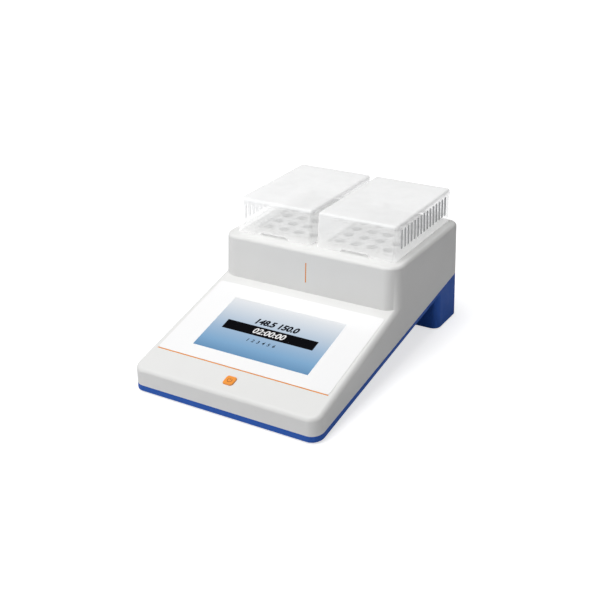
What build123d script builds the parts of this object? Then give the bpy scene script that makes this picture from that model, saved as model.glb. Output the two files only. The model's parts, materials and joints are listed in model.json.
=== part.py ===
from build123d import *
import os
from math import atan, cos, degrees, radians, sin, tan

# Chemical oxygen demand reactor: a bench heater for sealed digestion vials.
# Millimetres. X runs to the right, Y from the front edge to the rear, Z up.
# All pieces are drawn with Y = 0 at the front edge and Z = 0 at the blue base's lower edge.
# At the end they are moved so that the origin is the middle of the footprint, on the bench.

# Outer form
half_width_foot = 144.0        # at Z = 0
side_narrowing = 3.0           # each side wall leans in by this, from Z = 0 to the rim
rim_height = 147.0
front_height = 33.0            # where the control slope meets the front face
panel_slope = 0.244            # rise over run of the control slope
panel_length = 215.0           # front edge to the foot of the rear box, level
box_length = 213.0             # foot of the rear box's front face to the rear face
box_front_lean = 0.075         # the box's front face leans back
wall = 3.0
plan_corner = 16.5             # upright corners at the front
box_corner = 22.0              # upright corners at the front of the rear box
rear_corner = 16.0             # upright corners at the back
panel_edge_round = 7.0
rim_round = 5.5
inner_corner = 10.5            # chamfer inside the round upright corners
wedge_overlap = 40.0           # the wedge runs on this far inside the rear box

# Parting between the white upper housing and the blue base
parting_front = 8.4
parting_slope = 0.142
underside_slope = 0.151
foot_block_depth = 76.0        # front to rear, of the tall foot across the rear
foot_block_corner = 12.0
lip_height = 3.0               # the base's locating lip, above the parting
lip_thickness = 1.6
lip_gap = 0.25
foot_height = 2.0              # rubber feet under the base
foot_radius = 8.0
foot_sides = 12
foot_seat = 5.0                # rubber let into the base
front_foot_y = 26.0
foot_x = 112.0

# Wells and heating blocks
well_radius = 8.1
well_pitch = 25.5
well_columns = 4
well_rows = 5
well_depth = 62.0
block_side_margin = 3.5        # metal outside the outermost wells
block_end_margin = 8.2
block_base_thickness = 8.0     # plate that closes the wells from below
block_sink = 1.6               # the block's top lies this far under the rim
bay_inset = 6.0                # the wells' middle lies this far inside the lid's middle
bay_advance = 1.0              # and this far ahead of it
frame_gap = 1.5                # between block and housing opening
frame_flange = 1.3             # width of the frame's flange on the rim
frame_thickness = 0.8
frame_depth = 8.0
frame_clearance = 0.2
heater_thickness = 3.0
jacket_thickness = 6.0
jacket_clearance = 0.3
jacket_top_gap = 1.0           # under the bay frame
standoff_size = 8.0            # square pillars under the corners of the block
chassis_thickness = 1.5
chassis_gap = 1.5              # over the base's sloping floor
probe_radius = 1.6
probe_depth = 30.0
probe_outside = 22.0
cutout_radius = 8.0
cutout_length = 9.0
cutout_offset = 25.0           # from the bay's centre line, towards the machine's middle
cutout_rise = 20.0             # above the foot of the block's base plate
probe_clearance = 0.1
probe_end_gap = 1.0            # in the groove, ahead of the probe's tip
jacket_window_margin = 2.0     # opening in the jacket, round the probe and the cut-out
tab_thickness = 0.8
tab_length = 6.0
tab_width = 4.8
chassis_overhang = 8.0         # plate ahead of and behind the blocks
chassis_post_size = 8.0
chassis_margin = 1.0           # plate outside the blocks' sides and outside its posts

# Lids
lid_gap = 8.0                  # between the two lids
lid_side_margin = 14.0         # outer wall to the side of the rim
lid_front_setback = 19.4       # front wall's foot, behind the rim's front edge
lid_height = 49.4
lid_wall = 2.5
lid_front_lean = 6.5
lid_side_lean = 0.4
lid_corner = 3.0               # chamfers
lid_top_chamfer = 2.5
lid_seat_gap = 0.3
slot_count = 15
slot_width = 4.0
slot_height = 28.4
slot_foot = 12.6               # lower end above the rim
slot_front = 21.0              # first slot behind the lid's front wall
slot_rear = 19.0               # last slot ahead of the lid's rear wall
notch_width = 44.0             # finger notch in the front wall
notch_height = 3.4

# Lid hinges
hinge_height = 7.0             # axis above the rim
hinge_inset = 8.5              # axis ahead of the rear face
rear_wall_offset = 3.5         # lid's rear face behind the axis
rear_wall_lift = 3.6           # lid's rear wall ends this far under the axis
rear_wall_cut = 3.0            # depth of that cut, from the rear
knuckle_radius = 3.6
lug_width = 8.0
lug_spacing = 84.0
lug_chamfer = 2.0
lug_tenon = 4.0                # square peg of each lug, through the rim
lug_tenon_clearance = 0.1
knuckle_gap = 0.4
rod_radius = 1.5
rod_clearance = 0.05
rod_hold = 0.02                # clearance where the rod is held in the lugs

# Control slope, measured along the slope from its front edge
overlay_half_width = 133.0
overlay_start = 47.5
overlay_end = 205.6
overlay_corner = 4.0
overlay_thickness = 1.2
overlay_recess = 0.8
overlay_clearance = 0.2
screen_half_width = 90.0
screen_start = 70.0
screen_end = 177.5
screen_clearance = 0.15
screen_ledge = 2.0             # housing under the edge of the screen
line_width = 1.5
line_thickness = 0.4
line_rise = 0.1
mark_width = 1.5
mark_length = 29.0
mark_foot = 100.3
mark_depth = 0.6
display_thickness = 7.0
display_margin = 3.0
display_gap = 0.3
board_thickness = 1.6
board_drop = 18.0              # control board under the slope's surface
board_margin = 9.0
spacer_radius = 3.4            # to the corners
screw_radius = 1.5
screw_head_radius = 2.8
screw_head_height = 2.0
screw_clearance = 0.05
board_screw_length = 8.0
screw_end_gap = 1.0            # left in the hole past each screw
# connector, processor, relay driver and memory: across, along, width, depth, height
control_part_places = [(-70.0, 0.0, 12.0, 60.0, 9.0), (0.0, 10.0, 24.0, 24.0, 2.5),
                       (55.0, -20.0, 40.0, 14.0, 11.0), (50.0, 20.0, 18.0, 12.0, 2.5)]

# Power button
button_position = 24.2         # along the slope
button_width = 15.0
button_length = 15.5
button_corner = 3.5
button_rise = 1.8
button_travel = 1.5
button_clearance = 0.3
button_flange = 1.5
button_flange_thickness = 1.2
button_lip_gap = 0.1           # flange under the housing's wall
plunger_radius = 1.6
switch_size = 6.0
switch_height = 4.0
switch_gap = 0.5               # left over the switch when the button is pressed
plunger_hold = 0.8             # plunger inside the switch at rest
plunger_gap = 0.3
button_board_length = 26.0
button_board_width = 44.0
board_post_x = 15.0
board_post_size = 5.0

# Power board
power_board_y = 214.0
power_board_width = 190.0
power_board_depth = 60.0
power_board_height = 46.0
power_board_inset = 6.0        # posts from the board's edges
transformer_size = (45.0, 34.0, 27.0)
relay_size = (29.0, 13.0, 16.0)
relay_x = (-12.0, 24.0)
transformer_x = -62.0
board_edge_gap = 2.0           # between the transformer and the board's edge
sink_size = (40.0, 16.0, 24.0)
sink_x = 66.0
sink_fins = 6
sink_base = 4.0

# Mains entry, in the rear face of the foot block, midway between two of the chassis posts
entry_z = 31.0
entry_width = 66.0
entry_height = 28.0
entry_depth = 24.0
entry_recess = 3.4             # face of the entry inside the rear face
entry_clearance = 0.3
flange_rim = 3.5
flange_thickness = 2.5
socket_x = -18.0               # from the entry's centre
socket_width = 24.4
socket_height = 16.6
socket_depth = 17.0
socket_chamfer = 4.4
pin_width = 4.0
pin_thickness = 2.0
pin_spacing = 7.0
pin_length = 14.0
pin_low = -1.2                 # live and neutral, from the socket's middle
pin_rise = 4.0                 # earth above them
drawer_x = 1.5
drawer_width = 8.0
drawer_height = 24.0
drawer_depth = 18.0
drawer_clearance = 0.25
drawer_grip = 2.0
fuse_radius = 2.5
fuse_length = 20.0
fuse_clearance = 0.2
fuse_sides = 12
rocker_x = 18.0
rocker_width = 13.0
rocker_height = 21.0
rocker_pivot = 3.0             # behind the entry's face
rocker_dip = 0.5
rocker_heel = 6.0
rocker_depth = 10.0            # of the cavity behind it
rocker_angle = 18.0
rocker_clearance = 0.4
rocker_rise = 1.6
rocker_taper = 1.0
rocker_pin_radius = 1.5
rocker_pin_length = 2.0
rocker_pin_gap = 0.3           # at the end of each pin

# Screws and vents
boss_inset = 10.0              # from the rim's side
boss_front = 30.0
boss_rear = 30.0               # ahead of the rear face
boss_size = 9.0
base_boss_size = 11.0
boss_screw_length = 10.0
base_screw_radius = 1.6
base_screw_head = 3.2
base_screw_head_height = 2.4
base_screw_recess = 3.6        # head above the underside
base_screw_reach = 14.0        # head below the parting, in the tall foot
screw_head_clearance = 0.3
vent_count = 8
vent_width = 4.0
vent_height = 34.0
vent_pitch = 10.0
vent_z = 112.0
under_vent_count = 6
under_vent_length = 40.0
under_vent_pitch = 14.0

length = panel_length + box_length
reach = 400.0                  # longer than anything that is cut or crossed
deep = -20.0                   # lower than the whole machine
half_width_rim = half_width_foot - side_narrowing
side_draft = side_narrowing / rim_height
panel_angle = degrees(atan(panel_slope))
underside_angle = degrees(atan(underside_slope))
foot_block_y = length - foot_block_depth
panel_at_box = front_height + panel_slope * panel_length
box_front_rim = panel_length + box_front_lean * (rim_height - panel_at_box)
block_width = (well_columns - 1) * well_pitch + 2 * (well_radius + block_side_margin)
block_length = (well_rows - 1) * well_pitch + 2 * (well_radius + block_end_margin)
block_top = rim_height - block_sink
block_bottom = block_top - well_depth - block_base_thickness
hinge_y = length - hinge_inset
hinge_z = rim_height + hinge_height
lid_front = box_front_rim + lid_front_setback
lid_rear = hinge_y + rear_wall_offset
lid_inner_side = lid_gap / 2
lid_outer_side = half_width_rim - lid_side_margin
lid_centre = (lid_inner_side + lid_outer_side) / 2
lid_top = rim_height + lid_height
bay_x = lid_centre - bay_inset
bay_y = (lid_front + lid_rear) / 2 - bay_advance
block_front = bay_y - block_length / 2
probe_z = block_bottom + block_base_thickness - probe_radius - probe_clearance
cutout_x = bay_x - cutout_offset
cutout_z = block_bottom + cutout_rise
lid_width = lid_outer_side - lid_inner_side
overlay_middle = (overlay_start + overlay_end) / 2
line_position = overlay_start - overlay_clearance - line_width / 2
screen_middle = (screen_start + screen_end) / 2
flange_bottom = -wall - button_lip_gap - button_flange_thickness
switch_top = flange_bottom - button_travel - switch_gap
plunger_end = switch_top - plunger_hold
button_board_top = switch_height - switch_top
under_vent_y = power_board_y
boss_places = [(side * (half_width_rim - boss_inset), y) for side in (-1, 1)
               for y in (boss_front, length - boss_rear)]
chassis_half = bay_x + block_width / 2 + chassis_margin
chassis_half_length = block_length / 2 + chassis_overhang
chassis_height = foot_block_y * underside_slope + wall + chassis_gap
chassis_post_x = chassis_half - chassis_post_size / 2 - chassis_margin
chassis_post_y = chassis_half_length - chassis_post_size / 2 - chassis_margin
chassis_places = [(x, bay_y + end * chassis_post_y)
                  for x in (-chassis_post_x, 0, chassis_post_x) for end in (-1, 1)]
entry_x = -chassis_post_x / 2
power_board_places = [(side * (power_board_width / 2 - power_board_inset),
                       power_board_y + end * (power_board_depth / 2 - power_board_inset))
                      for side in (-1, 1) for end in (-1, 1)]


def half_width(z):
    return half_width_foot - side_draft * z


def panel_z(y):
    return front_height + panel_slope * y


def parting_z(y):
    return parting_front + parting_slope * y


def underside_z(y):
    return underside_slope * y


def side_prism(points):
    # a side view, drawn as (Y, Z) points and carried across the whole width
    return extrude(Plane.YZ * Polygon(*points, align=None), amount=reach / 2, both=True)


def front_trapezoid(inset):
    # the front view between the drafted side walls
    low, high = deep, rim_height - deep
    points = [(-half_width(low) + inset, low), (half_width(low) - inset, low),
              (half_width(high) - inset, high), (-half_width(high) + inset, high)]
    face = Plane.XZ * Polygon(*points, align=None)
    return extrude(face, amount=reach * 2, both=True)


def on_panel(x, along, out):
    # a place on the control slope: across, along it from the front edge, and out of it
    return Pos(0, 0, front_height) * Rot(panel_angle, 0, 0) * Pos(x, along, out)


def rounded_bar(width, depth, height, radius):
    # a plate or block with round upright corners, standing on its own base plane
    return extrude(RectangleRounded(width, depth, radius), amount=height)


def bar(width, depth, height):
    return Box(width, depth, height, align=(Align.CENTER, Align.CENTER, Align.MIN))


def post(radius, height):
    return Cylinder(radius, height, align=(Align.CENTER, Align.CENTER, Align.MIN))


def hexagon(radius, height):
    # screws and their holes, spacers and small pins: there are many, so all have six sides
    return extrude(RegularPolygon(radius, 6), amount=height)


def body_form(inset, rounds=True):
    # sloped wedge and rear box, before the space under the machine is taken away
    drop = inset / cos(radians(panel_angle))
    wedge_rear = panel_length + wedge_overlap
    wedge = side_prism([(inset, deep), (wedge_rear, deep), (wedge_rear, panel_z(wedge_rear) - drop),
                        (inset, panel_z(inset) - drop)])
    wedge &= front_trapezoid(inset)
    if rounds:
        wedge = fillet(upright_edges(wedge, -1, inset + 1), plan_corner - inset)
        slope_face = wedge.faces().sort_by(Axis.Z)[-1]
        outer_edges = [e for e in slope_face.edges() if (e @ 0.5).Y < wedge_rear - 1]
        wedge = fillet(outer_edges, panel_edge_round)
    else:
        wedge = chamfer(upright_edges(wedge, -1, inset + 1), inner_corner)
    front_low = panel_length - box_front_lean * (panel_at_box - deep) + inset
    front_high = box_front_rim - box_front_lean * inset + inset
    box = side_prism([(front_low, deep), (length - inset, deep), (length - inset, rim_height - inset),
                      (front_high, rim_height - inset)])
    box &= front_trapezoid(inset)
    if rounds:
        box = fillet(upright_edges(box, 0, foot_block_y), box_corner - inset)
        box = fillet(upright_edges(box, foot_block_y, length + 1), rear_corner - inset)
        box = fillet(box.faces().sort_by(Axis.Z)[-1].edges(), rim_round)
    else:
        box = chamfer(upright_edges(box, 0, length + 1), inner_corner)
    return wedge + box


def foot_block(inset):
    # the tall foot across the rear, with round front corners
    front = foot_block_y + inset
    rear = length + reach
    block = side_prism([(front, deep), (rear, deep), (rear, rim_height), (front, rim_height)])
    block &= front_trapezoid(inset)
    return fillet(upright_edges(block, 0, front + 1), foot_block_corner - inset)


def group(pieces):
    # like pieces that share one name stay separate solids
    return Compound([solid for piece in pieces for solid in piece.solids()])


def upright_edges(shape, foremost, rearmost):
    # edges that run up and down, between two places from front to rear
    found = []
    for edge in shape.edges():
        rise = abs((edge @ 0).Z - (edge @ 1).Z)
        if rise > 0.9 * edge.length and foremost < (edge @ 0.5).Y < rearmost:
            found.append(edge)
    return found


def envelope(inset, rounds=True):
    # the whole outside of white and blue housing together; with an inset, its hollow
    rise = inset / cos(radians(underside_angle))
    rear = foot_block_y + foot_block_corner + inset
    under = side_prism([(deep, deep), (rear, deep), (rear, underside_z(rear) + rise),
                        (deep, underside_z(deep) + rise)])
    under -= foot_block(inset)
    floor = Pos(0, 0, inset) * Box(reach, reach * 3, reach, align=(Align.CENTER, Align.CENTER, Align.MAX))
    return body_form(inset, rounds) - under - floor


def save(name, shape):
    # every piece leaves in the part's own frame
    export_step(Pos(0, -length / 2, foot_height) * shape, "parts/" + name + ".step")


def both_bays(piece):
    # the left bay mirrors the right one
    return {"right": piece, "left": mirror(piece, Plane.YZ)}


def upper_housing():
    shell = (outside - hollow) & above_parting
    for x, y in boss_places:
        boss = Pos(x, y, 0) * bar(boss_size, boss_size, reach)
        boss -= Pos(x, y, 0) * hexagon(base_screw_radius + screw_clearance, parting_z(y) + boss_screw_length)
        shell += boss & above_parting & outside
    opening_width = block_width + 2 * frame_gap
    opening_length = block_length + 2 * frame_gap
    tenon_hole = lug_tenon + 2 * lug_tenon_clearance
    for side in (-1, 1):
        shell -= Pos(side * bay_x, bay_y, rim_height) * Box(opening_width, opening_length, 4 * wall)
        for x in lug_places(side):
            shell -= Pos(x, hinge_y, rim_height) * Box(tenon_hole, tenon_hole, 4 * wall)
    shell -= on_panel(0, overlay_middle, -overlay_recess) * rounded_bar(
        2 * (overlay_half_width + overlay_clearance), overlay_end - overlay_start + 2 * overlay_clearance,
        wall, overlay_corner + overlay_clearance)
    window_width = 2 * (screen_half_width - screen_ledge)
    window_length = screen_end - screen_start - 2 * screen_ledge
    shell -= on_panel(0, screen_middle, -2 * wall) * bar(window_width, window_length, 4 * wall)
    shell -= on_panel(0, button_position, -2 * wall) * rounded_bar(
        button_width + 2 * button_clearance, button_length + 2 * button_clearance, 4 * wall,
        button_corner + button_clearance)
    shell -= on_box_front(0, mark_foot + mark_length / 2, -mark_depth) * bar(mark_width, mark_length, wall)
    shell -= on_panel(0, line_position, -line_thickness) * bar(2 * overlay_half_width, line_width, wall)
    for side in (-1, 1):
        for number in range(vent_count):
            x = side * bay_x + (number - (vent_count - 1) / 2) * vent_pitch
            shell -= Pos(x, length, vent_z) * Box(vent_width, 4 * wall, vent_height)
        shell += on_panel(side * board_post_x, button_position, -button_board_top) * bar(
            board_post_size, board_post_size, button_board_top - wall / 2)
    return shell


def lug_places(side):
    return [side * lid_centre + end * lug_spacing / 2 for end in (-1, 1)]


def hinge_lugs():
    lugs = []
    for x in lug_places(1):
        lug = Pos(x, hinge_y, rim_height) * bar(lug_width, 2 * knuckle_radius, hinge_height + knuckle_radius)
        lug = chamfer(lug.faces().sort_by(Axis.Z)[-1].edges().filter_by(Axis.X), lug_chamfer)
        lug += Pos(x, hinge_y, rim_height - wall) * bar(lug_tenon, lug_tenon, wall + hinge_height / 4)
        lugs.append(lug - Pos(x - lug_width, hinge_y, hinge_z) * Rot(0, 90, 0) * hexagon(
            (rod_radius + rod_hold) / cos(radians(30)), 2 * lug_width))
    return group(lugs)


def on_box_front(x, z, out):
    # a place on the leaning front face of the rear box
    y = panel_length + box_front_lean * (z - panel_at_box)
    lean = degrees(atan(box_front_lean))
    return Pos(x, y, z) * Rot(90 - lean, 0, 0) * Pos(0, 0, out)


def base_housing():
    shell = (outside - hollow) & below_parting
    lip_inside = body_form(wall + lip_gap + lip_thickness, rounds=False)
    shell += (body_form(wall, rounds=False) - lip_inside) & parting_slab(-lip_height / 2, 0) & outside
    shell += (body_form(wall + lip_gap, rounds=False) - lip_inside) & parting_slab(0, lip_height)
    for x, y in boss_places:
        shell += Pos(x, y, 0) * bar(base_boss_size, base_boss_size, reach) & below_parting & outside
    for x, y in chassis_places:
        shell += Pos(x, y, 0) * bar(chassis_post_size, chassis_post_size, chassis_height) & outside
    for x, y in power_board_places:
        shell += Pos(x, y, 0) * bar(chassis_post_size, chassis_post_size, power_board_height) & outside
    for x, y in boss_places:
        head = screw_head_z(y)
        shell -= Pos(x, y, deep) * hexagon(base_screw_head + screw_head_clearance, head - deep)
        shell -= Pos(x, y, 0) * hexagon(base_screw_radius + screw_head_clearance, reach)
    pad_depth = entry_recess + flange_thickness
    place = Pos(entry_x, length, entry_z)

    def around_entry(margin, depth):
        return Box(entry_width + 2 * margin, depth, entry_height + 2 * margin)

    shell += place * Pos(0, -wall - pad_depth / 2, 0) * around_entry(flange_rim + wall, pad_depth)
    shell -= place * around_entry(flange_rim + entry_clearance, 2 * pad_depth)
    shell -= place * around_entry(entry_clearance, 4 * pad_depth)
    for number in range(under_vent_count):
        x = (number - (under_vent_count - 1) / 2) * under_vent_pitch
        vent = Box(vent_width, under_vent_length, 6 * wall)
        shell -= Pos(x, under_vent_y, underside_z(under_vent_y)) * vent
    return shell


def parting_slab(low, high):
    front, rear = -reach, length + reach
    return side_prism([(front, parting_z(front) + low), (rear, parting_z(rear) + low),
                       (rear, parting_z(rear) + high), (front, parting_z(front) + high)])


def lid_form(inset, rounds=True):
    # the lid's outside, or with an inset the space in it; the front wall leans back
    low = rim_height + lid_seat_gap - (lid_wall if inset else 0)
    high = lid_top - inset
    lean_low, lean_high = [(z - rim_height) / lid_height for z in (low, high)]
    front, rear = lid_front + inset, lid_rear - inset
    left, right = lid_inner_side + inset, lid_outer_side - inset
    profile = side_prism([(front + lid_front_lean * lean_low, low), (rear, low),
                          (rear, high), (front + lid_front_lean * lean_high, high)])
    front_view = Polygon((left + lid_side_lean * lean_low, low), (right - lid_side_lean * lean_low, low),
                         (right - lid_side_lean * lean_high, high), (left + lid_side_lean * lean_high, high),
                         align=None)
    form = profile & extrude(Plane.XZ * front_view, amount=reach * 2, both=True)
    if not rounds:
        return form
    form = chamfer(upright_edges(form, 0, length), lid_corner)
    return chamfer(form.faces().sort_by(Axis.Z)[-1].edges(), lid_top_chamfer)


def right_lid():
    lid = lid_form(0) - lid_form(lid_wall, rounds=False)
    lid -= Pos(lid_centre, lid_front, rim_height) * Box(
        notch_width, 8 * lid_wall, 2 * (notch_height + lid_seat_gap))
    first = lid_front + slot_front
    pitch = (lid_rear - slot_rear - first) / (slot_count - 1)
    slot_z = rim_height + slot_foot + slot_height / 2
    for number in range(slot_count):
        slot = Box(8 * lid_wall, slot_width, slot_height)
        lid -= Pos(lid_outer_side, first + number * pitch, slot_z) * slot
    lid -= Pos(lid_centre, lid_rear, rim_height) * Box(
        2 * lid_width, 2 * rear_wall_cut, 2 * (hinge_height - rear_wall_lift))
    knuckle_length = lug_spacing - lug_width - 2 * knuckle_gap
    lid += on_hinge() * Cylinder(knuckle_radius, knuckle_length)
    room = Box(lug_width + 2 * knuckle_gap, 4 * knuckle_radius,
               2 * (hinge_height + knuckle_radius + 2 * knuckle_gap))
    for x in lug_places(1):
        lid -= Pos(x, hinge_y, rim_height) * room
    return lid - on_hinge() * Cylinder(rod_radius + rod_clearance, knuckle_length)


def on_hinge():
    # a round piece that lies along the hinge axis, at the middle of the lid
    return Pos(lid_centre, hinge_y, hinge_z) * Rot(0, 90, 0)


def hinge_rod():
    return on_hinge() * Cylinder(rod_radius, lug_spacing + lug_width)


def well_places():
    for column in range(well_columns):
        for row in range(well_rows):
            yield (bay_x + (column - (well_columns - 1) / 2) * well_pitch,
                   bay_y + (row - (well_rows - 1) / 2) * well_pitch)


def heating_block():
    # bored right through: its base plate is the floor of the wells
    block = Pos(bay_x, bay_y, block_top - well_depth) * bar(block_width, block_length, well_depth)
    for x, y in well_places():
        block -= Pos(x, y, block_top - well_depth) * post(well_radius, well_depth)
    return block


def block_base():
    # the temperature probe lies in a groove between this plate and the block
    plate = Pos(bay_x, bay_y, block_bottom) * bar(block_width, block_length, block_base_thickness)
    groove = 2 * (probe_radius + probe_clearance)
    return plate - Pos(bay_x, block_front, probe_z) * Box(groove, 2 * probe_depth, groove)


def bay_frame():
    def around_block(margin, height):
        return bar(block_width + 2 * margin, block_length + 2 * margin, height)

    frame = around_block(frame_gap + frame_flange, frame_thickness)
    frame += Pos(0, 0, -frame_depth) * around_block(frame_gap - frame_clearance, frame_depth)
    frame -= Pos(0, 0, -2 * frame_depth) * around_block(frame_clearance, 4 * frame_depth)
    return Pos(bay_x, bay_y, rim_height) * frame


def standoff_places():
    across = (block_width - standoff_size) / 2
    along = (block_length - standoff_size) / 2
    for side in (-1, 1):
        for end in (-1, 1):
            yield bay_x + side * across, bay_y + end * along


def standoff_notches(shape):
    notch = standoff_size + 2 * jacket_clearance
    for x, y in standoff_places():
        shape -= Pos(x, y, 0) * bar(notch, notch, block_bottom)
    return shape


def heater():
    plate = bar(block_width, block_length, heater_thickness)
    return standoff_notches(Pos(bay_x, bay_y, block_bottom - heater_thickness) * plate)


def insulation_jacket():
    inner_width = block_width + 2 * jacket_clearance
    inner_length = block_length + 2 * jacket_clearance
    floor = block_bottom - heater_thickness
    top = rim_height - frame_depth - jacket_top_gap
    jacket = bar(inner_width + 2 * jacket_thickness, inner_length + 2 * jacket_thickness,
                 top - floor + jacket_thickness)
    jacket = Pos(bay_x, bay_y, floor - jacket_thickness) * jacket
    jacket -= Pos(bay_x, bay_y, floor) * bar(inner_width, inner_length, reach)
    jacket = standoff_notches(jacket)
    low = probe_z - probe_radius - jacket_window_margin
    high = cutout_z + cutout_radius + jacket_window_margin
    left = cutout_x - cutout_radius - jacket_window_margin
    right = bay_x + probe_radius + jacket_window_margin
    window = bar(right - left, 4 * jacket_thickness, high - low)
    return jacket - Pos((left + right) / 2, block_front, low) * window


def temperature_probe():
    front = block_front - probe_outside
    tip = block_front + probe_depth - probe_end_gap
    return Pos(bay_x, front, probe_z) * Rot(-90, 0, 0) * hexagon(probe_radius, tip - front)


def thermal_cutout():
    disc = Pos(cutout_x, block_front, cutout_z) * Rot(90, 0, 0) * hexagon(cutout_radius, cutout_length)
    for side in (-1, 1):
        disc += Pos(cutout_x + side * cutout_radius / 2, block_front - cutout_length, cutout_z) * Box(
            tab_thickness, 2 * tab_length, tab_width)
    return disc


def block_standoffs():
    top = chassis_height + chassis_thickness
    pillar = bar(standoff_size, standoff_size, block_bottom - top)
    pillars = [Pos(x, y, top) * pillar for x, y in standoff_places()]
    return group(pillars + [mirror(p, Plane.YZ) for p in pillars])


def chassis_plate():
    return Pos(0, bay_y, chassis_height) * bar(2 * chassis_half, 2 * chassis_half_length, chassis_thickness)


def front_overlay():
    sheet = rounded_bar(2 * overlay_half_width, overlay_end - overlay_start, overlay_thickness,
                        overlay_corner)
    window = bar(2 * (screen_half_width + screen_clearance),
                 screen_end - screen_start + 2 * screen_clearance, reach)
    sheet = on_panel(0, overlay_middle, -overlay_recess) * sheet
    return sheet - on_panel(0, screen_middle, -reach / 2) * window


def touch_screen():
    return on_panel(0, screen_middle, -overlay_recess) * bar(
        2 * screen_half_width, screen_end - screen_start, overlay_thickness)


def display_module():
    return on_panel(0, screen_middle, -wall - display_gap - display_thickness) * bar(
        2 * (screen_half_width + display_margin), screen_end - screen_start + 2 * display_margin,
        display_thickness)


def accent_line():
    return on_panel(0, line_position, -line_thickness) * bar(
        2 * overlay_half_width, line_width, line_thickness + line_rise)


def accent_mark():
    return on_box_front(0, mark_foot + mark_length / 2, -mark_depth) * bar(
        mark_width, mark_length, mark_depth + line_rise)


def board_half_width():
    return screen_half_width + display_margin + board_margin


def spacer_places():
    across = board_half_width() - board_margin / 2
    along = (screen_end - screen_start) / 2 - board_margin
    for side in (-1, 1):
        for end in (-1, 1):
            yield side * across, screen_middle + end * along


def control_board():
    board = on_panel(0, screen_middle, -board_drop - board_thickness) * bar(
        2 * board_half_width(), screen_end - screen_start, board_thickness)
    for x, along in spacer_places():
        board -= on_panel(x, along, -2 * board_drop) * hexagon(screw_radius + screw_clearance, 2 * board_drop)
    return board


def board_spacers():
    spacers = []
    for x, along in spacer_places():
        spacer = hexagon(spacer_radius, board_drop - wall)
        spacer -= hexagon(screw_radius + screw_clearance, board_screw_length)
        spacers.append(on_panel(x, along, -board_drop) * spacer)
    return group(spacers)


def board_screws():
    screws = []
    bottom = -board_drop - board_thickness
    for x, along in spacer_places():
        head = on_panel(x, along, bottom - screw_head_height) * hexagon(screw_head_radius, screw_head_height)
        shaft = on_panel(x, along, bottom) * hexagon(
            screw_radius, board_thickness + board_screw_length - screw_end_gap)
        screws.append(head + shaft)
    return group(screws)


def control_parts():
    bottom = -board_drop - board_thickness
    parts = []
    for x, along, width, depth, height in control_part_places:
        parts.append(on_panel(x, screen_middle + along, bottom - height) * bar(width, depth, height))
    return group(parts)


def power_button():
    cap = rounded_bar(button_width, button_length, wall + button_lip_gap + button_rise, button_corner)
    flange = Pos(0, 0, -button_flange_thickness) * bar(
        button_width + 2 * button_flange, button_length + 2 * button_flange, button_flange_thickness)
    return on_panel(0, button_position, -wall - button_lip_gap) * (cap + flange)


def switch_plunger():
    return on_panel(0, button_position, plunger_end) * hexagon(plunger_radius, flange_bottom - plunger_end)


def button_switch():
    switch = on_panel(0, button_position, -button_board_top) * bar(switch_size, switch_size, switch_height)
    return switch - on_panel(0, button_position, plunger_end - button_travel - plunger_gap) * hexagon(
        plunger_radius + rod_clearance, switch_height)


def button_board():
    return on_panel(0, button_position, -button_board_top - board_thickness) * bar(
        button_board_width, button_board_length, board_thickness)


def power_board():
    board = bar(power_board_width, power_board_depth, board_thickness)
    return Pos(0, power_board_y, power_board_height) * board


def transformer():
    width, depth, height = transformer_size
    core = bar(width, depth, height) - Pos(0, 0, height / 3) * (
        bar(2 * width, depth / 4, height / 3) - bar(width / 3, depth / 4, height / 3))
    return on_power_board(transformer_x, (power_board_depth - depth) / 2 - board_edge_gap) * core


def on_power_board(x, y):
    return Pos(x, power_board_y + y, power_board_height + board_thickness)


def heater_relays():
    width, depth, height = relay_size
    relays = [on_power_board(x, power_board_depth / 4) * bar(width, depth, height) for x in relay_x]
    return group(relays)


def heat_sink():
    width, depth, height = sink_size
    sink = bar(width, depth, height)
    pitch = width / sink_fins
    for number in range(sink_fins):
        x = (number - (sink_fins - 1) / 2) * pitch
        sink -= Pos(x, depth / 4, sink_base) * bar(pitch / 2, depth, height)
    return on_power_board(sink_x, power_board_depth / 4) * sink


def on_entry(x, z, inward):
    # a place on the mains entry's face, which lies a little inside the rear face
    return Pos(entry_x + x, length - entry_recess - inward, entry_z + z)


def power_entry():
    body = on_entry(0, 0, flange_thickness / 2) * Box(
        entry_width + 2 * flange_rim, flange_thickness, entry_height + 2 * flange_rim)
    body += on_entry(0, 0, entry_depth / 2) * Box(entry_width, entry_depth, entry_height)
    socket = Plane.XZ * (Rectangle(socket_width, socket_height))
    corners = socket.vertices().sort_by(Axis.Z)[-2:]
    socket = chamfer(corners, socket_chamfer)
    body -= on_entry(socket_x, 0, 0) * extrude(socket, amount=socket_depth, both=True)
    body -= on_entry(drawer_x, 0, drawer_depth / 2) * Box(
        drawer_width + 2 * drawer_clearance, drawer_depth + 2 * drawer_clearance,
        drawer_height + 2 * drawer_clearance)
    cavity = rocker_swing_radius() + rocker_clearance
    body -= on_entry(rocker_x, 0, rocker_depth / 2) * Box(
        rocker_width + 2 * rocker_clearance, rocker_depth, 2 * cavity)
    body -= on_entry(rocker_x, 0, rocker_pivot) * Rot(0, 90, 0) * Cylinder(
        rocker_pin_radius + rod_clearance, rocker_width + 2 * (rocker_clearance + rocker_pin_length))
    return body


def inlet_pins():
    pins = []
    for x, z in ((-pin_spacing, pin_low), (pin_spacing, pin_low), (0, pin_low + pin_rise)):
        pins.append(on_entry(socket_x + x, z, socket_depth - pin_length / 2) * Box(
            pin_thickness, pin_length, pin_width))
    return group(pins)


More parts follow.
